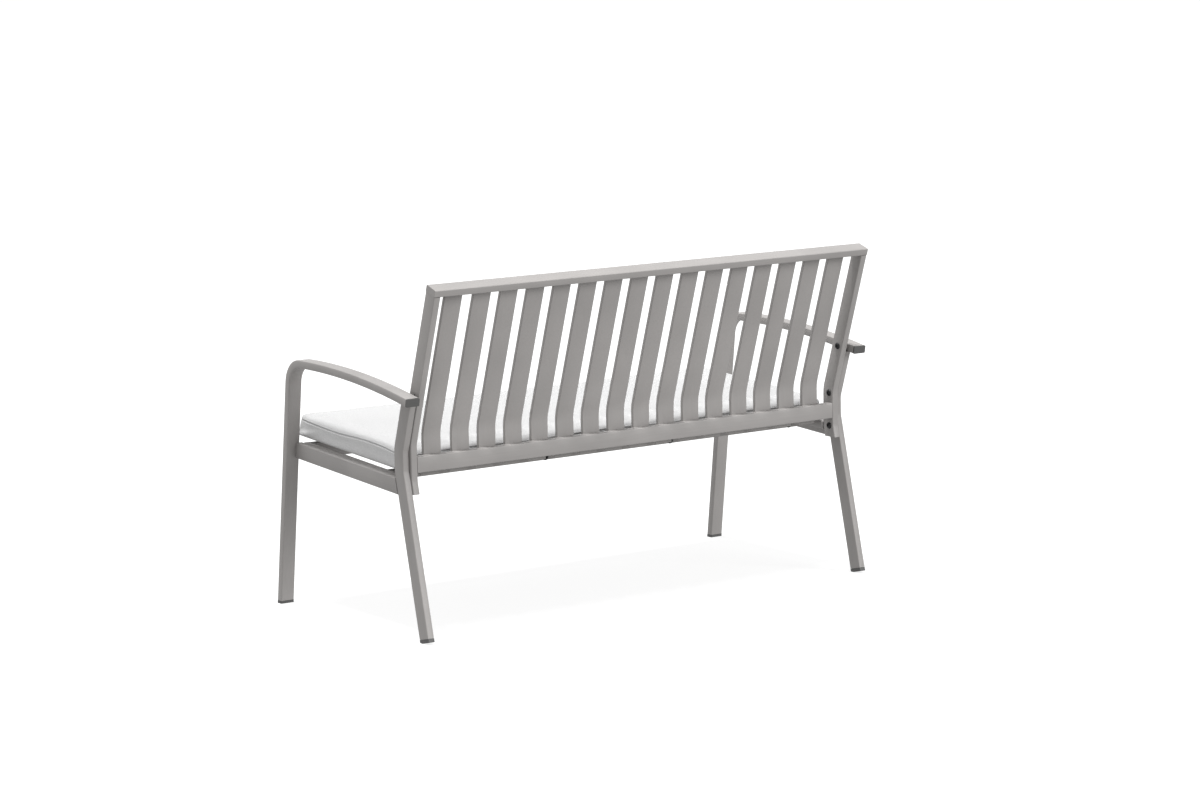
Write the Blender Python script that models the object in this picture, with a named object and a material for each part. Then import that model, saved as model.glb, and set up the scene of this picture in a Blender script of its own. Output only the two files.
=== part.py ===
"""Garden bench: two bent-tube side frames, a slatted back panel bolted between them, a slatted
seat panel between the side rails, and one loose seat cushion.

Frame: metres, +Z up, +X along the bench's length, the sitter faces -Y. The origin is on the
ground under the middle of the whole bench. Sections are drawn in millimetres about a datum
line near the foot of the back and moved to the origin at the end.
"""

import math

import bmesh
import bpy
from mathutils import Matrix, Vector

# ---------------------------------------------------------------- driving dimensions (mm)
GAP = 0.3  # clearance left between pieces that touch

ARM_INNER_X, ARM_OUTER_X = 667.5, 704.5  # arm and front leg tube
ARM_THICK = 20.0
ARM_CROWN_Y, ARM_CROWN_Z = -390.0, 640.5  # highest point of the arm's upper face
ARM_RADIUS = 2513.0  # radius of the arm's upper face
ARM_END_Y = 70.0
FRONT_BEND = 60.0  # centreline radius where the leg turns into the arm
FRONT_FOOT_Y = -579.5  # front face of the front leg, at the ground
FRONT_RAKE = 0.133  # how far the front leg leans, mm per mm of height

SIDE_INNER_X, SIDE_OUTER_X = 659.3, 677.3  # rear leg and side rail
REAR_DEPTH = 40.0
REAR_RAKE = 0.2325
REAR_KNEE_Z, REAR_KNEE_Y = 408.0, -33.0  # where the rear leg turns upright
REAR_HIP_Z = 462.0  # where it starts to lean back

LEAN = math.radians(18.7)  # lean of the back
STILE_INNER_X, STILE_OUTER_X = 641.0, 659.0
STILE_DEPTH = 40.0
STILE_REAR_Y = 15.5  # rear face of the stile's upright stretch
STILE_HIP_Z, STILE_KNEE_Z, STILE_FOOT_Z = 475.7, 385.0, 354.0
TOP_REAR_Z = 858.6  # upper rear edge of the top rail
TOP_RAIL_HIGH, TOP_RAIL_DEEP = 18.0, 40.0

LOW_RAIL = (-5.0, 15.0, 404.5, 444.6)  # front, rear, bottom, top of the back's lower rail

SLATS = 16
PITCH = 77.5
FIRST_SLAT_OUT = 4.0  # the slat nearest the left end stands this much further out
TUBE_EDGE = 2.4  # corner radius of the tubes
SLAT_WIDE, SLAT_THICK = 50.0, 8.0
BACK_SLAT_THICK = 10.0
BACK_SLAT_REAR_Y = -5.3  # rear face of a back slat's upright stretch
BACK_SLAT_SET_IN = 28.6  # rear face of the slats ahead of the stile's rear face
BACK_SLAT_FOOT_Z = 407.5

SEAT_TILT = 0.06  # seat falls towards the back, mm per mm
SEAT_RAIL_TOP = 390.0  # height of the side rail's top at the datum line
SIDE_RAIL_HIGH = 40.0
FRONT_RAIL = (-498.0, 20.0, 40.0)  # front face, depth, height
REAR_RAIL = (-125.0, 40.0, 20.0)
SIDE_BAR_HIGH = 20.0  # the seat panel's own side bars, beside the side rails
SIDE_BAR_SPAN = (-498.0, -26.5)
SEAT_SLAT_SPAN = (-497.0, -18.0)

CUSHION_HALF_X = 649.0
CUSHION_SPAN = (-549.0, -29.0)
CUSHION_HIGH = 57.0
CUSHION_CORNER = 14.0  # plan radius of its corners

FOOT_HIGH = 7.0
FOOT_HEEL = 2.6  # how far the rear foot's level flat cuts into it
CAP_LONG = 4.0

BOLT_HEAD_R, BOLT_HEAD_H = 8.6, 5.0
BOLT_SHANK_R, BOLT_HOLE_R = 3.0, 3.4
SIDE_BOLTS = ((38.5, 598.0, 40.0), (0.8, 470.5, 30.0), (0.8, 383.4, 30.0))  # y, z, shank length
RAIL_BOLT_X = 2.5 * PITCH + 9.0
RAIL_BOLT_DROP = 1.4  # below the middle of the rear rail
RAIL_BOLT_SHANK = 24.0

MM = 0.001

# ---------------------------------------------------------------- scene and materials
for obj in list(bpy.data.objects):
    bpy.data.objects.remove(obj, do_unlink=True)


def material(name, colour, roughness, metallic):
    mat = bpy.data.materials.new(name)
    mat.use_nodes = True
    shader = mat.node_tree.nodes["Principled BSDF"]
    shader.inputs["Base Color"].default_value = (*colour, 1.0)
    shader.inputs["Roughness"].default_value = roughness
    shader.inputs["Metallic"].default_value = metallic
    mat.diffuse_color = (*colour, 1.0)
    return mat


COAT = dict(colour=(0.262, 0.248, 0.232), roughness=0.48, metallic=0.25)
BLACK = dict(colour=(0.018, 0.018, 0.019), roughness=0.5, metallic=0.0)
BOLT = dict(colour=(0.02, 0.02, 0.021), roughness=0.38, metallic=0.6)
FABRIC = dict(colour=(0.60, 0.61, 0.61), roughness=0.95, metallic=0.0)

origin = bpy.data.objects.new("bench_origin", None)
bpy.context.scene.collection.objects.link(origin)
pieces = []


def add(name, bm, finish):
    """A named object from a bmesh drawn in millimetres."""
    bmesh.ops.scale(bm, vec=(MM, MM, MM), verts=bm.verts)
    bmesh.ops.recalc_face_normals(bm, faces=bm.faces)
    mesh = bpy.data.meshes.new(name)
    bm.to_mesh(mesh)
    bm.free()
    mesh.shade_smooth()
    mesh.set_sharp_from_angle(angle=math.radians(30))
    obj = bpy.data.objects.new(name, mesh)
    mesh.materials.append(material(name, **finish))
    bpy.context.scene.collection.objects.link(obj)
    obj.parent = origin
    pieces.append(obj)
    return obj


# ---------------------------------------------------------------- shapes
def section(wide, thick, radius, steps=3):
    """Closed outline of a rounded rectangle about its centre, anticlockwise."""
    outline = []
    for cx, cy, start in ((1, 1, 0), (-1, 1, 90), (-1, -1, 180), (1, -1, 270)):
        for i in range(steps + 1):
            a = math.radians(start + 90 * i / steps)
            outline.append(
                (
                    cx * (wide / 2 - radius) + radius * math.cos(a),
                    cy * (thick / 2 - radius) + radius * math.sin(a),
                )
            )
    return outline


def loft(rings):
    """A closed skin through rings of equally many points."""
    bm = bmesh.new()
    made = [[bm.verts.new(p) for p in ring] for ring in rings]
    n = len(made[0])
    for a, b in zip(made, made[1:]):
        for i in range(n):
            bm.faces.new((a[i], a[(i + 1) % n], b[(i + 1) % n], b[i]))
    bm.faces.new(list(reversed(made[0])))
    bm.faces.new(made[-1])
    return bm


def side_sweep(path, x0, x1, thick, radius, ends=(None, None)):
    """A tube bent in the YZ plane. path holds centreline points (y, z); ends may hold the
    direction (y, z) of each cut, and a cut is square to the path where it is None."""
    rings = []
    last = len(path) - 1
    shape = section(x1 - x0, thick, radius)
    for i, (y, z) in enumerate(path):
        before = Vector(path[i]) - Vector(path[i - 1]) if i else None
        after = Vector(path[i + 1]) - Vector(path[i]) if i < last else None
        d0 = (before or after).normalized()
        d1 = (after or before).normalized()
        tangent = (d0 + d1).normalized()
        across = Vector((tangent.y, -tangent.x))
        stretch = 1 / max(0.2, across.dot(Vector((d1.y, -d1.x))))
        cut = ends[0] if i == 0 else ends[1] if i == last else None
        if cut:
            c = Vector(cut).normalized()
            across = c / c.dot(Vector((d1.y, -d1.x)))
            stretch = 1
        rings.append(
            [
                ((x0 + x1) / 2 + u, y + across.x * v * stretch, z + across.y * v * stretch)
                for u, v in shape
            ]
        )
    return loft(rings)


def cross_bar(x0, x1, centre, deep, high, angle, radius):
    """A straight tube along X. angle turns its section about X, in radians."""
    c, s = math.cos(angle), math.sin(angle)
    rings = []
    for x in (x0, x1):
        rings.append(
            [
                (x, centre[0] + u * c - v * s, centre[1] + u * s + v * c)
                for u, v in section(deep, high, radius)
            ]
        )
    return loft(rings)


def disc_stack(profile, sides, centre, turn):
    """A turned piece: profile holds (radius, height) from the base up; turn maps +Z onto its axis."""
    rings = []
    for r, h in profile:
        ring = []
        for i in range(sides):
            a = 2 * math.pi * i / sides
            p = turn @ Vector((r * math.cos(a), r * math.sin(a), h))
            ring.append(tuple(Vector(centre) + p))
        rings.append(ring)
    return loft(rings)


def mirrored(bm):
    """The same piece for the -X end."""
    bmesh.ops.scale(bm, vec=(-1, 1, 1), verts=bm.verts)
    bmesh.ops.reverse_faces(bm, faces=bm.faces)
    return bm


def both_sides(name, make, finish):
    return [
        add(name + "_left", make(), finish),
        add(name + "_right", mirrored(make()), finish),
    ]


def arc_points(centre, radius, a0, a1, steps):
    return [
        (
            centre[0] + radius * math.cos(a0 + (a1 - a0) * i / steps),
            centre[1] + radius * math.sin(a0 + (a1 - a0) * i / steps),
        )
        for i in range(steps + 1)
    ]


def eased(points, radius, steps=4):
    """A polyline with each inner corner rounded by the given centreline radius."""
    out = [points[0]]
    for p, q, r in zip(points, points[1:], points[2:]):
        p, q, r = Vector(p), Vector(q), Vector(r)
        a, b = (p - q).normalized(), (r - q).normalized()
        turn = math.pi - a.angle(b)
        back = radius * math.tan(turn / 2)
        start, end = q + a * back, q + b * back
        centre = q + (a + b).normalized() * (radius / math.cos(turn / 2))
        for i in range(steps + 1):
            v = (start - centre).lerp(end - centre, i / steps).normalized() * radius
            out.append(tuple(centre + v))
    out.append(points[-1])
    return out


# ---------------------------------------------------------------- side frames
def front_leg_path():
    """Centreline of the front leg and arm, from the foot to the arm's rear end."""
    a = math.atan(FRONT_RAKE)
    up = Vector((math.sin(a), math.cos(a)))
    inward = Vector((math.cos(a), -math.sin(a)))
    foot = Vector((FRONT_FOOT_Y, 0)) + inward * (ARM_THICK / 2)
    foot += up * ((FOOT_HIGH + GAP - foot.y) / up.y)
    arm_c = Vector((ARM_CROWN_Y, ARM_CROWN_Z - ARM_RADIUS))
    arm_r = ARM_RADIUS - ARM_THICK / 2
    # the bend's centre lies one bend radius behind the leg's line and inside the arm's arc
    base = foot + inward * FRONT_BEND - arm_c
    b, c = base.dot(up), base.length_squared - (arm_r - FRONT_BEND) ** 2
    s = -b + math.sqrt(b * b - c)
    bend_c = foot + inward * FRONT_BEND + up * s
    start = math.atan2(-inward.y, -inward.x)
    if start < 0:
        start += 2 * math.pi
    towards = (bend_c - arm_c).normalized()
    end = math.atan2(towards.y, towards.x)
    points = [tuple(foot), tuple(foot + up * (s * 0.5))]
    points += arc_points(bend_c, FRONT_BEND, start, end, 12)
    rear = math.acos((ARM_END_Y - arm_c.x) / arm_r)
    points += arc_points(arm_c, arm_r, end, rear, 14)[1:]
    return points


def arm_and_front_leg():
    return side_sweep(
        front_leg_path(), ARM_INNER_X, ARM_OUTER_X, ARM_THICK, TUBE_EDGE, ends=((1, 0), None)
    )


def end_direction(path):
    return (Vector(path[-1]) - Vector(path[-2])).normalized()


def arm_end_cap():
    path = front_leg_path()
    d = end_direction(path)
    start = Vector(path[-1]) + d * GAP
    return side_sweep(
        [tuple(start), tuple(start + d * (CAP_LONG - 1.2)), tuple(start + d * CAP_LONG)],
        ARM_INNER_X,
        ARM_OUTER_X,
        ARM_THICK,
        TUBE_EDGE,
    )


def rear_leg_path():
    """Centreline of the rear leg: raked foot, upright knee, leaning top under the arm."""
    half = REAR_DEPTH / 2
    a = math.atan(REAR_RAKE)
    axis = Vector((-math.sin(a), math.cos(a)))
    knee = Vector((REAR_KNEE_Y + half, REAR_KNEE_Z))
    # the leg's lower end is cut square to it, with its front edge one foot height up
    drop = (knee.y - half * math.sin(a) - FOOT_HIGH) / axis.y
    foot = knee - axis * drop
    hip = Vector((REAR_KNEE_Y + half, REAR_HIP_Z))
    lean = Vector((math.sin(LEAN), math.cos(LEAN)))
    top = hip + lean * 200
    # cut where the arm's lower face passes
    for _ in range(30):
        under = (
            ARM_CROWN_Z - ARM_RADIUS
            + math.sqrt((ARM_RADIUS - ARM_THICK) ** 2 - (top.x - ARM_CROWN_Y) ** 2)
            - GAP - 0.6
        )
        top = hip + lean * ((under - hip.y) / lean.y)
    return [tuple(foot), tuple(knee), tuple(hip), tuple(top)]


def rear_leg():
    path = rear_leg_path()
    slope = -(path[-1][0] - ARM_CROWN_Y) / (ARM_RADIUS - ARM_THICK)
    return side_sweep(
        eased(path, 60.0), SIDE_INNER_X, SIDE_OUTER_X, REAR_DEPTH, TUBE_EDGE, ends=(None, (1, slope))
    )


def front_foot():
    """Black glide under the front leg, level with the ground."""
    path = front_leg_path()
    a = math.atan(FRONT_RAKE)
    up = Vector((math.sin(a), math.cos(a)))
    top = Vector(path[0]) - up * (GAP / up.y)
    low = top - up * (top.y / up.y)
    return side_sweep(
        [tuple(low), tuple(low + (top - low) * 0.25), tuple(top)],
        ARM_INNER_X - 0.2,
        ARM_OUTER_X + 0.2,
        ARM_THICK + 0.6,
        TUBE_EDGE,
        ends=((1, 0), (1, 0)),
    )


def rear_foot():
    """Black glide under the rear leg, square to the leg, with a small level flat at its front."""
    path = rear_leg_path()
    a = math.atan(REAR_RAKE)
    axis = Vector((-math.sin(a), math.cos(a)))
    top = Vector(path[0]) - axis * GAP
    bm = side_sweep(
        [tuple(top - axis * (FOOT_HIGH + 6)), tuple(top - axis * 2), tuple(top)],
        SIDE_INNER_X - 0.2,
        SIDE_OUTER_X + 0.2,
        REAR_DEPTH + 0.6,
        TUBE_EDGE,
    )
    bottom = top - axis * (FOOT_HIGH + FOOT_HEEL)
    for point, normal in (
        ((0, bottom.x, bottom.y), (0, -axis.x, -axis.y)),
        ((0, 0, 0), (0, 0, -1)),
    ):
        cut = bmesh.ops.bisect_plane(
            bm, geom=bm.verts[:] + bm.edges[:] + bm.faces[:], plane_co=point, plane_no=normal,
            clear_outer=True,
        )
        edges = [e for e in cut["geom_cut"] if isinstance(e, bmesh.types.BMEdge)]
        bmesh.ops.holes_fill(bm, edges=edges)
    return bm


def seat_top(y):
    return SEAT_RAIL_TOP - SEAT_TILT * y


def side_rail():
    """Straight tube from the front leg to the rear leg; its ends follow the two legs."""
    front_y = lambda z: FRONT_FOOT_Y + FRONT_RAKE * z + ARM_THICK / math.cos(math.atan(FRONT_RAKE)) + GAP
    rear_y = lambda z: REAR_KNEE_Y + (REAR_KNEE_Z - z) * REAR_RAKE - 2.2 - GAP
    half = SIDE_RAIL_HIGH / 2
    tilt = math.atan(SEAT_TILT)
    mid = lambda y: (y, seat_top(y) - half / math.cos(tilt))
    f = mid(-500.0)
    f = mid(front_y(f[1]))
    r = mid(-25.0)
    r = mid(rear_y(r[1]))
    return side_sweep(
        [f, r], SIDE_INNER_X, SIDE_OUTER_X, SIDE_RAIL_HIGH, TUBE_EDGE,
        ends=((FRONT_RAKE, 1), (-REAR_RAKE, 1)),
    )


both_sides("front_leg_and_arm", arm_and_front_leg, COAT)
both_sides("arm_end_cap", arm_end_cap, BLACK)
legs = both_sides("rear_leg", rear_leg, COAT)
both_sides("side_rail", side_rail, COAT)
both_sides("front_foot", front_foot, BLACK)
both_sides("rear_foot", rear_foot, BLACK)


# ---------------------------------------------------------------- back panel
def lean_dir():
    return Vector((math.sin(LEAN), math.cos(LEAN)))


def rear_face_y(z):
    """Rear face of the leaning stretch of a stile."""
    return STILE_REAR_Y + (z - STILE_HIP_Z) * math.tan(LEAN)


def stile_path():
    half = STILE_DEPTH / 2
    up = lean_dir()
    corner = Vector((rear_face_y(TOP_REAR_Z), TOP_REAR_Z))
    top_rear = corner - up * (TOP_RAIL_HIGH + GAP)
    top = top_rear + Vector((-math.cos(LEAN), math.sin(LEAN))) * half
    hip_z = STILE_HIP_Z + half * math.tan(LEAN / 2)
    knee_turn = math.atan(REAR_RAKE)
    knee_z = STILE_KNEE_Z - half * math.tan(knee_turn / 2)
    centre_y = STILE_REAR_Y - half
    foot = (centre_y + (knee_z - STILE_FOOT_Z) * REAR_RAKE, STILE_FOOT_Z)
    return [foot, (centre_y, knee_z), (centre_y, hip_z), tuple(top)]


def back_stile():
    return side_sweep(
        eased(stile_path(), 70.0), STILE_INNER_X, STILE_OUTER_X, STILE_DEPTH, TUBE_EDGE,
        ends=((1, 0), None),
    )


def top_rail():
    up = lean_dir()
    corner = Vector((rear_face_y(TOP_REAR_Z), TOP_REAR_Z))
    centre = corner - up * (TOP_RAIL_HIGH / 2) + Vector((-math.cos(LEAN), math.sin(LEAN))) * (TOP_RAIL_DEEP / 2)
    return cross_bar(-STILE_OUTER_X, STILE_OUTER_X, tuple(centre), TOP_RAIL_DEEP, TOP_RAIL_HIGH, -LEAN, TUBE_EDGE)


def low_rail():
    front, rear, bottom, top = LOW_RAIL
    return cross_bar(
        -STILE_INNER_X + GAP, STILE_INNER_X - GAP, ((front + rear) / 2, (bottom + top) / 2),
        rear - front, top - bottom, 0.0, TUBE_EDGE,
    )


def slat_x(i):
    """Middle of slat i, counted from the left end."""
    return ((SLATS - 1) / 2 - i) * PITCH + (FIRST_SLAT_OUT if i == 0 else 0)


def back_slat(x):
    """Flat bar that leans with the stiles and turns upright along the lower rail's front."""
    half = BACK_SLAT_THICK / 2
    up = lean_dir()
    corner = Vector((rear_face_y(TOP_REAR_Z), TOP_REAR_Z)) - up * (TOP_RAIL_HIGH + GAP)
    across = Vector((-math.cos(LEAN), math.sin(LEAN)))
    top = corner + across * (BACK_SLAT_SET_IN * math.cos(LEAN) + half)
    upright = BACK_SLAT_REAR_Y - half
    hip = top - up * ((top.x - upright) / up.x)
    return side_sweep(
        eased([(upright, BACK_SLAT_FOOT_Z), (upright, hip.y), tuple(top)], 90.0),
        x - SLAT_WIDE / 2, x + SLAT_WIDE / 2, BACK_SLAT_THICK, 1.6,
    )


stiles = both_sides("back_stile", back_stile, COAT)
add("back_top_rail", top_rail(), COAT)
add("back_lower_rail", low_rail(), COAT)
for i in range(SLATS):
    add(f"back_slat_{i + 1:02d}", back_slat(slat_x(i)), COAT)


# ---------------------------------------------------------------- seat panel
def seat_bar(front, deep, high):
    tilt = -math.atan(SEAT_TILT)
    y = front + deep / 2
    centre = (y, seat_top(y) - high / 2 / math.cos(tilt))
    return cross_bar(-STILE_INNER_X + GAP, STILE_INNER_X - GAP, centre, deep, high, tilt, TUBE_EDGE)


def seat_side_bar():
    """The seat panel's own side bar, flush with the top of the side rail it lies against."""
    half = SIDE_BAR_HIGH / 2
    points = [(y, seat_top(y) - half) for y in SIDE_BAR_SPAN]
    return side_sweep(points, STILE_INNER_X, STILE_OUTER_X, SIDE_BAR_HIGH, TUBE_EDGE)


def seat_slat(x):
    half = SLAT_THICK / 2 + GAP
    points = [(y, seat_top(y) + half) for y in SEAT_SLAT_SPAN]
    return side_sweep(points, x - SLAT_WIDE / 2, x + SLAT_WIDE / 2, SLAT_THICK, 1.6)


add("seat_front_rail", seat_bar(*FRONT_RAIL), COAT)
rear_bar = add("seat_rear_rail", seat_bar(*REAR_RAIL), COAT)
both_sides("seat_side_bar", seat_side_bar, COAT)
for i in range(SLATS):
    add(f"seat_slat_{i + 1:02d}", seat_slat(slat_x(i)), COAT)


# ---------------------------------------------------------------- bolts, and the holes they pass
def drill(obj, centre, axis, radius, length):
    """A round hole through or into a piece; centre is the mouth, axis points into the piece."""
    turn = Vector((0, 0, 1)).rotation_difference(Vector(axis)).to_matrix()
    start = Vector(centre) - Vector(axis) * 2
    bm = disc_stack([(radius, 0), (radius, length + 2)], 16, start, turn)
    bmesh.ops.scale(bm, vec=(MM, MM, MM), verts=bm.verts)
    bmesh.ops.recalc_face_normals(bm, faces=bm.faces)
    mesh = bpy.data.meshes.new("drill")
    bm.to_mesh(mesh)
    bm.free()
    cutter = bpy.data.objects.new("drill", mesh)
    cutter.hide_render = True
    cutter.display_type = "WIRE"
    cutter.parent = origin
    bpy.context.scene.collection.objects.link(cutter)
    hole = obj.modifiers.new("bolt_hole", "BOOLEAN")
    hole.operation = "DIFFERENCE"
    hole.solver = "EXACT"
    hole.object = cutter


def bolt(centre, axis, shank):
    """Round-head bolt: centre is on the face it clamps, axis points into the work."""
    turn = Vector((0, 0, 1)).rotation_difference(Vector(axis)).to_matrix()
    profile = [
        (5.2, -BOLT_HEAD_H),
        (7.2, -BOLT_HEAD_H * 0.72),
        (BOLT_HEAD_R, -BOLT_HEAD_H * 0.3),
        (BOLT_HEAD_R, -GAP),
        (BOLT_SHANK_R, -GAP),
        (BOLT_SHANK_R, shank - 1.0),
        (BOLT_SHANK_R - 1.0, shank),
    ]
    return disc_stack(profile, 16, centre, turn)


for side, sign in (("left", 1), ("right", -1)):
    k = (1 - sign) // 2
    for place, (y, z, shank) in zip(("arm", "hip", "knee"), SIDE_BOLTS):
        mouth = (sign * STILE_INNER_X, y, z)
        add(f"bolt_{place}_{side}", bolt(mouth, (sign, 0, 0), shank), BOLT)
        drill(stiles[k], mouth, (sign, 0, 0), BOLT_HOLE_R, 24)
        if place != "arm":
            drill(legs[k], (sign * SIDE_INNER_X, y, z), (sign, 0, 0), BOLT_HOLE_R, shank - 18 + 1.2)

arms = [obj for obj in pieces if obj.name.startswith("front_leg_and_arm")]
y, z, shank = SIDE_BOLTS[0]
for obj, sign in zip(arms, (1, -1)):
    drill(obj, (sign * ARM_INNER_X, y, z), (sign, 0, 0), BOLT_HOLE_R, shank - (ARM_INNER_X - STILE_INNER_X) + 1.2)

bar_y = REAR_RAIL[0] + REAR_RAIL[1]
bar_z = seat_top(bar_y) - REAR_RAIL[2] / 2
tilt = math.atan(SEAT_TILT)
into = Vector((0, -math.cos(tilt), math.sin(tilt)))
mouth = Vector((RAIL_BOLT_X, bar_y, bar_z - RAIL_BOLT_DROP)) - into * 0.6
add("bolt_seat", bolt(tuple(mouth), tuple(into), RAIL_BOLT_SHANK), BOLT)
drill(rear_bar, tuple(mouth), tuple(into), BOLT_HOLE_R, RAIL_BOLT_SHANK + 1.2)


# ---------------------------------------------------------------- cushion
def cushion():
    """Plain closed pad with the cushion's outer size, lying on the seat slats."""
    front, rear = CUSHION_SPAN
    bm = bmesh.new()
    bmesh.ops.create_cube(bm, size=1.0)
    bmesh.ops.scale(bm, vec=(2 * CUSHION_HALF_X, rear - front, CUSHION_HIGH), verts=bm.verts)
    upright = [e for e in bm.edges if abs(e.verts[0].co.z - e.verts[1].co.z) > 1]
    bmesh.ops.bevel(bm, geom=upright, offset=CUSHION_CORNER, segments=4, profile=0.5, affect="EDGES")
    rim = [e for e in bm.edges if abs(e.verts[0].co.z - e.verts[1].co.z) < 0.01
           and abs(abs(e.verts[0].co.z) - CUSHION_HIGH / 2) < 0.01 and len(e.link_faces) == 2
           and abs(e.link_faces[0].normal.z - e.link_faces[1].normal.z) > 0.5]
    bmesh.ops.bevel(bm, geom=rim, offset=14, segments=3, profile=0.5, affect="EDGES")
    tilt = math.atan(SEAT_TILT)
    y = (front + rear) / 2
    z = seat_top(y) + GAP * 2 + SLAT_THICK + 0.4 + CUSHION_HIGH / 2 / math.cos(tilt)
    bmesh.ops.transform(bm, matrix=Matrix.Translation((0, y, z)) @ Matrix.Rotation(-tilt, 4, "X"), verts=bm.verts)
    return bm


add("seat_cushion", cushion(), FABRIC)

# ---------------------------------------------------------------- move the datum to the origin
ys = [v.co.y for obj in pieces for v in obj.data.vertices]
origin.location = (0.0, -(min(ys) + max(ys)) / 2, 0.0)
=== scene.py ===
"""Looks for the garden bench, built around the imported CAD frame."""

import math

import bmesh
import bpy
import numpy as np
from mathutils import Matrix, Vector


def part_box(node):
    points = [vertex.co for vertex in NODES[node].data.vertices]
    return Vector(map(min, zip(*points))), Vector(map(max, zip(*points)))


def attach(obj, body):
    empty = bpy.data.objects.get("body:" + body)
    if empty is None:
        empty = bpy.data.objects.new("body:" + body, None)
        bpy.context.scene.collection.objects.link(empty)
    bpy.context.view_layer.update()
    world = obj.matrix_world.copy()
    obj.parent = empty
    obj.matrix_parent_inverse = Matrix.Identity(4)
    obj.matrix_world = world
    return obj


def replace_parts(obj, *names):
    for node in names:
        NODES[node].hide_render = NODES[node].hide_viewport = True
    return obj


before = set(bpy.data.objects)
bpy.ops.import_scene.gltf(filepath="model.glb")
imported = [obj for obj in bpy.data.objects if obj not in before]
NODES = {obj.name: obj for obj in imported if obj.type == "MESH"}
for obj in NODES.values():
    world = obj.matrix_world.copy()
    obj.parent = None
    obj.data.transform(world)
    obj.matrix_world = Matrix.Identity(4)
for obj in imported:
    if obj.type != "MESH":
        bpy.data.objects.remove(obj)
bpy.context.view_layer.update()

scene = bpy.context.scene


# ------------------------------------------------------------------ camera
def make_camera():
    """The camera stands behind the bench, to its left, a little above the arms."""
    azimuth, elevation, roll = math.radians(145.055), math.radians(8.473), math.radians(-1.137)
    distance, lens = 8.6163, 102.66
    frame_px, focal_px = (1200.0, 799.0), 102.66 / 36.0 * 1200.0
    aim_px = (630.404, 437.8)  # where the aim point lies in the frame
    back = Vector((
        math.sin(azimuth) * math.cos(elevation),
        -math.cos(azimuth) * math.cos(elevation),
        math.sin(elevation),
    ))
    right = Vector((0, 0, 1)).cross(back).normalized()
    up = back.cross(right)
    right_r = right * math.cos(roll) + up * math.sin(roll)
    up_r = up * math.cos(roll) - right * math.sin(roll)
    aim = Vector((0.0, 0.2178, 0.42))
    place = aim + back * distance
    place += right_r * (-(aim_px[0] - frame_px[0] / 2) / focal_px * distance)
    place += up_r * ((aim_px[1] - frame_px[1] / 2) / focal_px * distance)
    data = bpy.data.cameras.new("camera")
    data.sensor_width = 36.0
    data.sensor_fit = "HORIZONTAL"
    data.lens = lens
    data.clip_end = 200.0
    cam = bpy.data.objects.new("camera", data)
    scene.collection.objects.link(cam)
    m = Matrix.Identity(4)
    for i in range(3):
        m[i][0], m[i][1], m[i][2], m[i][3] = right_r[i], up_r[i], back[i], place[i]
    cam.matrix_world = m
    scene.camera = cam


make_camera()


# ------------------------------------------------------------------ materials
class Nodes:
    """Small helper around a material's node tree."""

    def __init__(self, name):
        self.mat = bpy.data.materials.new(name)
        self.mat.use_nodes = True
        self.tree = self.mat.node_tree
        self.shader = self.tree.nodes["Principled BSDF"]
        self.where = self.add("ShaderNodeTexCoord").outputs["Object"]

    def add(self, kind, **settings):
        node = self.tree.nodes.new(kind)
        for key, value in settings.items():
            setattr(node, key, value)
        return node

    def link(self, a, b):
        self.tree.links.new(a, b)

    def mapped(self, scale, rotation=(0, 0, 0), source=None):
        node = self.add("ShaderNodeMapping")
        node.inputs["Scale"].default_value = scale
        node.inputs["Rotation"].default_value = rotation
        self.link(source or self.where, node.inputs["Vector"])
        return node.outputs["Vector"]

    def noise(self, scale, detail=2.0, rough=0.5, source=None, distortion=0.0):
        node = self.add("ShaderNodeTexNoise")
        node.inputs["Scale"].default_value = scale
        node.inputs["Detail"].default_value = detail
        node.inputs["Roughness"].default_value = rough
        node.inputs["Distortion"].default_value = distortion
        self.link(source or self.where, node.inputs["Vector"])
        return node.outputs["Fac"]

    def math(self, op, a, b=0.0, clamp=False):
        node = self.add("ShaderNodeMath", operation=op, use_clamp=clamp)
        for i, v in enumerate((a, b)):
            if isinstance(v, (int, float)):
                node.inputs[i].default_value = v
            else:
                self.link(v, node.inputs[i])
        return node.outputs[0]

    def ramp(self, fac, stops):
        node = self.add("ShaderNodeValToRGB")
        while len(node.color_ramp.elements) < len(stops):
            node.color_ramp.elements.new(0.5)
        for e, (pos, col) in zip(node.color_ramp.elements, stops):
            e.position = pos
            e.color = (*col, 1.0) if not isinstance(col, float) else (col, col, col, 1.0)
        self.link(fac, node.inputs["Fac"])
        return node.outputs["Color"]

    def mix(self, fac, a, b, blend="MIX"):
        node = self.add("ShaderNodeMix", data_type="RGBA", blend_type=blend)
        for key, v in (("Factor", fac), ("A", a), ("B", b)):
            sockets = [s for s in node.inputs if s.name == key and s.enabled]
            s = sockets[0]
            if isinstance(v, (int, float)):
                s.default_value = v
            elif isinstance(v, tuple):
                s.default_value = (*v, 1.0)
            else:
                self.link(v, s)
        return [s for s in node.outputs if s.enabled][0]

    def bump(self, height, strength, distance, normal=None):
        node = self.add("ShaderNodeBump")
        node.inputs["Strength"].default_value = strength
        node.inputs["Distance"].default_value = distance
        self.link(height, node.inputs["Height"])
        if normal:
            self.link(normal, node.inputs["Normal"])
        return node.outputs["Normal"]

    def put(self, **values):
        for key, v in values.items():
            s = self.shader.inputs[key.replace("_", " ")]
            if isinstance(v, (int, float)):
                s.default_value = v
            elif isinstance(v, tuple):
                s.default_value = (*v, 1.0)
            else:
                self.link(v, s)


COAT = (0.300, 0.2870, 0.279)


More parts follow.
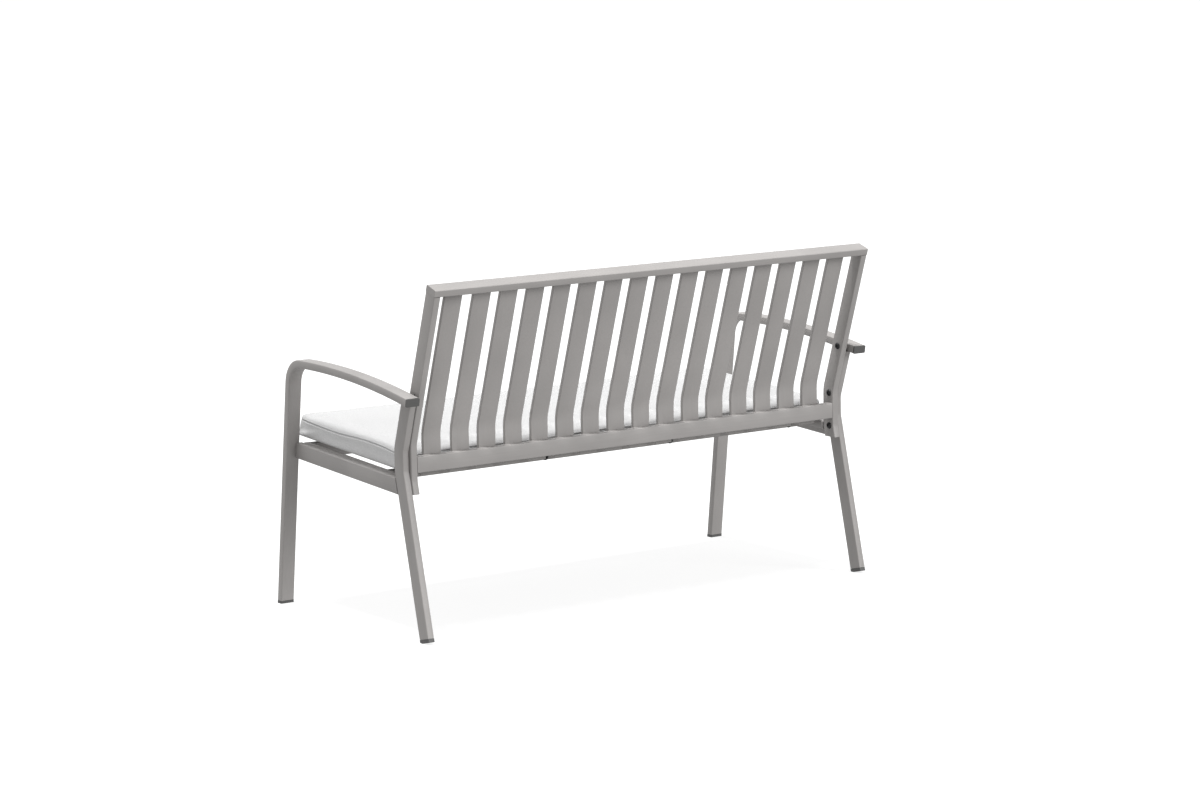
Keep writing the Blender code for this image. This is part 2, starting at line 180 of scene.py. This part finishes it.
def powder_coat(name, along="z"):
    """Taupe powder coat: fine orange peel, a faint speckle, and draw lines along the extrusion."""
    n = Nodes(name)
    squeeze = {"x": (0.02, 1, 1), "y": (1, 0.02, 1), "z": (1, 1, 0.02)}[along]
    draw = n.noise(420.0, 3.0, 0.6, n.mapped(squeeze))
    cloud = n.noise(7.0, 2.0, 0.5)
    speck = n.noise(2300.0, 1.0, 0.5)
    dark = tuple(c * 0.93 for c in COAT)
    light = tuple(c * 1.07 for c in COAT)
    base = n.mix(n.ramp(cloud, [(0.3, 0.0), (0.7, 1.0)]), dark, light)
    base = n.mix(n.ramp(speck, [(0.62, 0.0), (0.74, 0.35)]), base, tuple(c * 1.35 for c in COAT))
    base = n.mix(n.ramp(draw, [(0.35, 0.22), (0.65, 0.0)]), base, tuple(c * 0.78 for c in COAT))
    n.put(Base_Color=base)
    n.put(Roughness=n.ramp(speck, [(0.3, 0.40), (0.7, 0.52)]))
    n.put(Metallic=0.0, IOR=1.5)
    peel = n.noise(850.0, 2.0, 0.5)
    height = n.bump(peel, 0.16, 0.0004)
    height = n.bump(draw, 0.10, 0.0003, height)
    n.put(Normal=height)
    return n.mat


def black_plastic():
    n = Nodes("moulded_plastic")
    grain = n.noise(1500.0, 2.0, 0.6)
    cloud = n.noise(60.0, 2.0)
    n.put(Base_Color=n.mix(cloud, (0.066, 0.065, 0.064), (0.088, 0.087, 0.086)))
    n.put(Roughness=n.ramp(grain, [(0.3, 0.42), (0.7, 0.6)]), IOR=1.5)
    n.put(Normal=n.bump(grain, 0.25, 0.0003))
    return n.mat


def bolt_black():
    n = Nodes("bolt_black")
    grain = n.noise(2600.0, 2.0, 0.6)
    n.put(Base_Color=n.mix(grain, (0.012, 0.012, 0.013), (0.03, 0.03, 0.031)))
    n.put(Roughness=n.ramp(grain, [(0.3, 0.3), (0.7, 0.45)]), Metallic=0.6)
    n.put(Normal=n.bump(grain, 0.15, 0.0002))
    return n.mat


def fabric(name="cushion_fabric"):
    """Light grey heathered weave, about a millimetre a thread."""
    n = Nodes(name)
    wander = n.add("ShaderNodeTexNoise")
    wander.inputs["Scale"].default_value = 160.0
    wander.inputs["Detail"].default_value = 2.0
    n.link(n.where, wander.inputs["Vector"])
    bent = n.add("ShaderNodeVectorMath", operation="MULTIPLY_ADD")
    n.link(wander.outputs["Color"], bent.inputs[0])
    bent.inputs[1].default_value = (0.0011, 0.0011, 0.0011)
    n.link(n.where, bent.inputs[2])
    turned = n.mapped((1, 1, 1), (0, 0, 0), bent.outputs["Vector"])
    split = n.add("ShaderNodeSeparateXYZ")
    n.link(turned, split.inputs[0])
    waves = []
    for axis in "XYZ":
        waves.append(n.math("SINE", n.math("MULTIPLY", split.outputs[axis], 2 * math.pi / 0.0021)))
    xy = n.math("MULTIPLY", waves[0], waves[1])
    yz = n.math("MULTIPLY", waves[1], waves[2])
    zx = n.math("MULTIPLY", waves[2], waves[0])
    weave = n.math("MULTIPLY", n.math("ADD", n.math("ADD", xy, yz), zx), 0.28)
    weave = n.math("ADD", weave, 0.5, clamp=True)
    fibre = n.noise(1.0, 3.0, 0.65, n.mapped((260.0, 1500.0, 1500.0)))
    cross = n.noise(1.0, 3.0, 0.65, n.mapped((1500.0, 260.0, 700.0)))
    fleck = n.math("MULTIPLY", n.math("ADD", fibre, cross), 0.5)
    cloud = n.noise(9.0, 3.0, 0.55)
    light, mid, dark = (0.62, 0.621, 0.621), (0.56, 0.560, 0.560), (0.44, 0.441, 0.443)
    base = n.mix(n.ramp(fleck, [(0.40, 1.0), (0.52, 0.0)]), mid, dark)
    base = n.mix(n.ramp(fleck, [(0.5, 0.0), (0.62, 1.0)]), base, light)
    base = n.mix(n.math("MULTIPLY", weave, 0.18), base, light)
    base = n.mix(n.ramp(cloud, [(0.35, 0.10), (0.65, 0.0)]), base, dark)
    n.put(Base_Color=base, Roughness=0.92, IOR=1.4)
    n.put(Sheen_Weight=0.25, Sheen_Roughness=0.45)
    height = n.bump(weave, 0.45, 0.0008)
    height = n.bump(fibre, 0.25, 0.0006, height)
    n.put(Normal=height)
    return n.mat


COAT_X, COAT_Y, COAT_Z = powder_coat("powder_coat_x", "x"), powder_coat("powder_coat_y", "y"), powder_coat("powder_coat_z", "z")
PLASTIC, BOLT, FABRIC = black_plastic(), bolt_black(), fabric()


def soft_shading():
    """A node group that welds a CAD mesh's split points and smooths it, except over edges of 32 degrees and more."""
    g = bpy.data.node_groups.new("soft_shading", "GeometryNodeTree")
    g.interface.new_socket("Geometry", in_out="INPUT", socket_type="NodeSocketGeometry")
    g.interface.new_socket("Geometry", in_out="OUTPUT", socket_type="NodeSocketGeometry")
    first, last = g.nodes.new("NodeGroupInput"), g.nodes.new("NodeGroupOutput")
    weld = g.nodes.new("GeometryNodeMergeByDistance")
    weld.inputs["Distance"].default_value = 2e-6
    smooth = g.nodes.new("GeometryNodeSetShadeSmooth")
    smooth.domain = "FACE"
    crease = g.nodes.new("GeometryNodeSetShadeSmooth")
    crease.domain = "EDGE"
    crease.inputs["Shade Smooth"].default_value = False
    angle = g.nodes.new("GeometryNodeInputMeshEdgeAngle")
    over = g.nodes.new("ShaderNodeMath")
    over.operation = "GREATER_THAN"
    over.inputs[1].default_value = math.radians(32)
    g.links.new(first.outputs[0], weld.inputs["Geometry"])
    g.links.new(weld.outputs["Geometry"], smooth.inputs["Geometry"])
    g.links.new(smooth.outputs["Geometry"], crease.inputs["Geometry"])
    g.links.new(angle.outputs["Unsigned Angle"], over.inputs[0])
    g.links.new(over.outputs[0], crease.inputs["Selection"])
    g.links.new(crease.outputs["Geometry"], last.inputs[0])
    return g


SOFT = soft_shading()


def dress(obj, mat):
    """Gives a CAD node its material and smooth shading over its rounded corners."""
    for s in obj.material_slots:
        s.material = mat
    if "custom_normal" in obj.data.attributes:
        obj.data.attributes.remove(obj.data.attributes["custom_normal"])
    mod = obj.modifiers.new("soft_shading", "NODES")
    mod.node_group = SOFT


for name, obj in NODES.items():
    if name.startswith(("arm_end_cap", "front_foot", "rear_foot")):
        dress(obj, PLASTIC)
    elif name.startswith("bolt_"):
        dress(obj, BOLT)
    elif name.startswith(("back_top", "back_lower", "seat_front", "seat_rear")):
        dress(obj, COAT_X)
    elif name.startswith(("side_rail", "seat_slat", "seat_side")):
        dress(obj, COAT_Y)
    elif name != "seat_cushion":
        dress(obj, COAT_Z)


# ------------------------------------------------------------------ cushion
lo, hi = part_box("seat_cushion")
SEAT_TILT = math.atan(0.06)
CUSHION_AT = Matrix.Translation((lo + hi) / 2) @ Matrix.Rotation(-SEAT_TILT, 4, "X")
HALF_LONG, HALF_DEEP, HALF_HIGH = 0.649, 0.2600, 0.0285
CORNER = 0.010
SEAM_H = 0.040  # seam above the underside


def outline(half_x, half_y, radius, nx, ny):
    """Points round a rounded rectangle, matched to the rim of an nx by ny grid: 2 (nx + ny) of them."""
    def side(p0, p1, n):
        return [(p0[0] + (p1[0] - p0[0]) * i / n, p0[1] + (p1[1] - p0[1]) * i / n) for i in range(n)]
    rim = side((-half_x, -half_y), (half_x, -half_y), nx) + side((half_x, -half_y), (half_x, half_y), ny)
    rim += side((half_x, half_y), (-half_x, half_y), nx) + side((-half_x, half_y), (-half_x, -half_y), ny)
    out = []
    for x, y in rim:
        cx = max(-half_x + radius, min(half_x - radius, x))
        cy = max(-half_y + radius, min(half_y - radius, y))
        d = Vector((x - cx, y - cy))
        if abs(d.x) > 1e-9 and abs(d.y) > 1e-9:
            # pull the square corner onto the arc, spreading points evenly in angle
            a = math.atan2(abs(d.y), abs(d.x))
            t = math.tan(min(a, math.pi / 2 - a))
            ang = t * math.pi / 4 if abs(d.y) < abs(d.x) else math.pi / 2 - t * math.pi / 4
            out.append((cx + math.copysign(radius * math.cos(ang), d.x), cy + math.copysign(radius * math.sin(ang), d.y)))
        else:
            out.append((x, y))
    return out


def panel(rim, nx, ny):
    """Coons fill of a rim with (nx + 1) by (ny + 1) points."""
    rim = np.array(rim)
    bottom = rim[: nx + 1]
    right = rim[nx : nx + ny + 1]
    top = rim[nx + ny : 2 * nx + ny + 1][::-1]
    left = np.vstack([rim[2 * nx + ny :], rim[:1]])[::-1]
    u = np.linspace(0, 1, nx + 1)[:, None, None]
    v = np.linspace(0, 1, ny + 1)[None, :, None]
    grid = (1 - v) * bottom[:, None] + v * top[:, None] + (1 - u) * left[None] + u * right[None]
    grid -= (1 - u) * (1 - v) * bottom[0] + u * (1 - v) * bottom[-1] + (1 - u) * v * top[0] + u * v * top[-1]
    return grid


def seam_wander(x, y):
    """How far the seam rises and falls along the border."""
    ends = max(0.0, min(1.0, (abs(x) - 0.55) / 0.09))
    return 0.0032 * math.cos(2 * math.pi * (y - 0.08) / 0.36) * ends + 0.0024 * math.sin(2 * math.pi * x / 0.43 + 0.6) * (1 - ends)


def cushion_mesh(cell, shrink):
    """Closed boxed cushion: flat underside, upright border, a seam, a rolled shoulder and the top panel."""
    hx, hy = HALF_LONG - shrink, HALF_DEEP - shrink
    nx, ny = int(round(2 * hx / cell)), int(round(2 * hy / cell))
    # heights and insets of the loops between the two panels, from the underside up
    wall = [(0.000, 0.0034), (0.0012, 0.0010), (0.004, 0.0001), (0.010, 0.0), (0.016, 0.0), (0.022, 0.0), (0.028, 0.0),
            (0.0335, 0.0), (0.0368, 0.0), (0.0386, 0.0004), (0.0400, 0.0030), (0.0414, 0.0004), (0.0430, 0.0004)]
    r = 0.0150
    top_h = 2 * HALF_HIGH - 0.0025
    for k in range(1, 7):
        a = math.radians(15 * k)
        wall.append((top_h - r + r * math.sin(a), 0.0004 + r * (1 - math.cos(a))))
    verts, faces, seam, low = [], [], [], []
    loops = []
    for h, inset in wall:
        rim = outline(hx - inset, hy - inset, max(0.004, CORNER - inset), nx, ny)
        loops.append(list(range(len(verts), len(verts) + len(rim))))
        if abs(h - SEAM_H) < 1e-6:
            seam.extend(loops[-1])
        near = max(0.0, 1.0 - abs(h - SEAM_H) / 0.014) ** 0.5
        verts += [(x, y, h - HALF_HIGH + near * seam_wander(x, y)) for x, y in rim]
    n = len(loops[0])
    for a, b in zip(loops, loops[1:]):
        for i in range(n):
            faces.append((a[i], a[(i + 1) % n], b[(i + 1) % n], b[i]))
    for loop, flip, z in ((loops[0], True, -HALF_HIGH), (loops[-1], False, top_h - HALF_HIGH)):
        rim = [verts[i][:2] for i in loop]
        grid = panel(rim, nx, ny)
        index = {}
        for k in range(n):
            if k < nx: ij = (k, 0)
            elif k < nx + ny: ij = (nx, k - nx)
            elif k < 2 * nx + ny: ij = (nx - (k - nx - ny), ny)
            else: ij = (0, ny - (k - 2 * nx - ny))
            index[ij] = loop[k]
        for i in range(nx + 1):
            for j in range(ny + 1):
                if (i, j) not in index:
                    index[i, j] = len(verts)
                    verts.append((float(grid[i, j, 0]), float(grid[i, j, 1]), z))
                if flip:
                    low.append(index[i, j])
        for i in range(nx):
            for j in range(ny):
                q = (index[i, j], index[i + 1, j], index[i + 1, j + 1], index[i, j + 1])
                faces.append(q[::-1] if flip else q)
    mesh = bpy.data.meshes.new("seat_cushion_cover")
    mesh.from_pydata(verts, [], faces)
    mesh.update()
    return mesh, seam, sorted(set(low))


def smooth_cap(d, cap):
    return cap * np.tanh(d / cap)


def make_cushion():
    cell = 0.0065
    mesh, seam, low = cushion_mesh(cell, 0.0012)
    obj = bpy.data.objects.new("seat_cushion_cover", mesh)
    scene.collection.objects.link(obj)
    obj.matrix_world = CUSHION_AT
    rest = np.array([v.co for v in mesh.vertices])
    pin = obj.vertex_groups.new(name="pin")
    pin.add(low, 1.0, "REPLACE")
    # the piping of the lower edge holds it straight
    pin.add([i for i, v in enumerate(mesh.vertices) if v.co.z < 0.006 - HALF_HIGH], 1.0, "REPLACE")
    tight = obj.vertex_groups.new(name="tight")
    tight.add(seam, 1.0, "REPLACE")
    cloth = obj.modifiers.new("cloth", "CLOTH")
    s = cloth.settings
    s.quality = 6
    s.mass = 0.3
    s.tension_stiffness = s.compression_stiffness = 18
    s.shear_stiffness = 8
    s.bending_stiffness = 0.6
    s.vertex_group_mass = "pin"
    s.pin_stiffness = 1.0
    s.use_pressure = True
    s.uniform_pressure_force = 4.0
    s.vertex_group_shrink = "tight"
    s.shrink_max = 0.002
    s.effector_weights.gravity = 0.0
    cloth.collision_settings.use_collision = False
    cloth.point_cache.frame_start, cloth.point_cache.frame_end = 1, 20
    for f in range(1, 21):
        scene.frame_set(f)
    dg = bpy.context.evaluated_depsgraph_get()
    moved = np.array([v.co for v in obj.evaluated_get(dg).data.vertices])
    obj.modifiers.remove(cloth)
    scene.frame_set(1)
    d = moved - rest
    length = np.linalg.norm(d, axis=1, keepdims=True)
    cap = 0.008
    d = d * np.where(length > 1e-9, smooth_cap(length, cap) / np.maximum(length, 1e-9), 1)
    print("cushion swell, mm: mean %.1f, most %.1f" % (1000 * length.mean(), 1000 * length.max()))
    co = rest + d
    mesh.vertices.foreach_set("co", co.astype(np.float32).ravel())
    mesh.update()
    mesh.shade_smooth()
    mesh.materials.append(FABRIC)
    sub = obj.modifiers.new("subdivision", "SUBSURF")
    sub.levels = sub.render_levels = 1
    return obj


cushion = make_cushion()
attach(cushion, "cushion")
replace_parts(cushion, "seat_cushion")


# ------------------------------------------------------------------ bolts
def bolt_head(name, mouth, out):
    """A domed head with a hexagon socket. mouth is on the face it clamps and out points away from the work."""
    out = Vector(out).normalized()
    turn = Vector((0, 0, 1)).rotation_difference(out).to_matrix()
    sides = 36
    dome = [(0.0086, 0.0003), (0.0086, 0.0012), (0.0083, 0.0021), (0.0077, 0.0030), (0.0068, 0.0038),
            (0.0056, 0.0044), (0.0042, 0.0048), (0.0034, 0.00495)]
    bm = bmesh.new()
    rings = []

    def ring(radius, h):
        rings.append([bm.verts.new(Vector(mouth) + turn @ Vector((
            radius(a) * math.cos(a), radius(a) * math.sin(a), h))) for a in (2 * math.pi * i / sides for i in range(sides))])

    for r, h in dome:
        ring(lambda a, r=r: r, h)
    key = lambda a: 0.0025 / math.cos((a % (math.pi / 3)) - math.pi / 6)
    ring(key, 0.00495)
    ring(key, 0.0026)
    for a, b in zip(rings, rings[1:]):
        for i in range(sides):
            bm.faces.new((a[i], a[(i + 1) % sides], b[(i + 1) % sides], b[i]))
    bm.faces.new(rings[0][::-1])
    bm.faces.new(rings[-1])
    bmesh.ops.recalc_face_normals(bm, faces=bm.faces)
    mesh = bpy.data.meshes.new(name)
    bm.to_mesh(mesh)
    bm.free()
    mesh.shade_smooth()
    mesh.set_sharp_from_angle(angle=math.radians(40))
    mesh.materials.append(BOLT)
    obj = bpy.data.objects.new(name, mesh)
    scene.collection.objects.link(obj)
    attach(obj, "frame")
    return obj


def make_bolts():
    for name in sorted(NODES):
        if not name.startswith("bolt_") or name == "bolt_seat":
            continue
        low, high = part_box(name)
        mid = (low + high) / 2
        sign = 1.0 if mid.x > 0 else -1.0
        face = low.x + 0.005 if sign > 0 else high.x - 0.005
        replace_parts(bolt_head("head_" + name[5:], (face, mid.y, mid.z), (-sign, 0, 0)), name)
    low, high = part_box("bolt_seat")
    mid = (low + high) / 2
    out = Vector((0, math.cos(SEAT_TILT), -math.sin(SEAT_TILT)))
    # the solid is one of four along the rail, ten, five and five slat pitches apart
    for i, step in enumerate((0, 5, 10, -5)):
        head = bolt_head(f"head_seat_{i + 1}", (mid.x - 0.0775 * step, high.y - 0.0053, mid.z), out)
        if step == 0:
            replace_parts(head, "bolt_seat")


make_bolts()


# ------------------------------------------------------------------ stage and light
def make_stage():
    mesh = bpy.data.meshes.new("floor")
    s = 30.0
    mesh.from_pydata([(-s, -s, 0), (s, -s, 0), (s, s, 0), (-s, s, 0)], [], [(0, 1, 2, 3)])
    floor = bpy.data.objects.new("floor", mesh)
    floor.location.z = -0.0002
    scene.collection.objects.link(floor)
    n = Nodes("floor")
    pale = n.mix(n.noise(0.6, 2.0), (0.285, 0.285, 0.285), (0.295, 0.295, 0.295))
    n.put(Base_Color=pale, Roughness=0.95, Specular_IOR_Level=0.0)
    n.put(Emission_Color=(1.0, 1.0, 1.0), Emission_Strength=0.78)
    mesh.materials.append(n.mat)
    # the floor shows white, but the frame is lit by the room and not from below
    floor.visible_diffuse = False
    floor.visible_glossy = False


def sun(name, towards, width, strength):
    """A wide soft source, the same over the whole floor. towards points from the bench to it."""
    data = bpy.data.lights.new(name, "SUN")
    data.angle = math.radians(width)
    data.energy = strength
    lamp = bpy.data.objects.new(name, data)
    lamp.rotation_euler = (-Vector(towards)).to_track_quat("-Z", "Y").to_euler()
    lamp.location = Vector(towards).normalized() * 4
    scene.collection.objects.link(lamp)
    return lamp


def make_light():
    world = bpy.data.worlds.new("studio")
    scene.world = world
    world.use_nodes = True
    t = world.node_tree
    bg = t.nodes["Background"]
    bg.inputs["Color"].default_value = (1, 1, 1, 1)
    bg.inputs["Strength"].default_value = 0.63
    seen = t.nodes.new("ShaderNodeBackground")
    seen.inputs["Color"].default_value = (1, 1, 1, 1)
    seen.inputs["Strength"].default_value = 1.05
    path = t.nodes.new("ShaderNodeLightPath")
    mix = t.nodes.new("ShaderNodeMixShader")
    t.links.new(path.outputs["Is Camera Ray"], mix.inputs["Fac"])
    t.links.new(bg.outputs["Background"], mix.inputs[1])
    t.links.new(seen.outputs["Background"], mix.inputs[2])
    # what shines back from the coat at a low angle is the white studio wall
    wall = t.nodes.new("ShaderNodeBackground")
    wall.inputs["Color"].default_value = (1, 1, 1, 1)
    wall.inputs["Strength"].default_value = 0.85
    shine = t.nodes.new("ShaderNodeMixShader")
    t.links.new(path.outputs["Is Glossy Ray"], shine.inputs["Fac"])
    t.links.new(mix.outputs["Shader"], shine.inputs[1])
    t.links.new(wall.outputs["Background"], shine.inputs[2])
    t.links.new(shine.outputs["Shader"], t.nodes["World Output"].inputs["Surface"])
    sun("overhead", (0.13, 0.03, 1.0), 12.0, 3.5)
    sun("key", (-0.35, 0.85, 0.40), 30.0, 1.65)
    scene.view_settings.view_transform = "Standard"
    scene.view_settings.look = "None"


make_stage()
make_light()
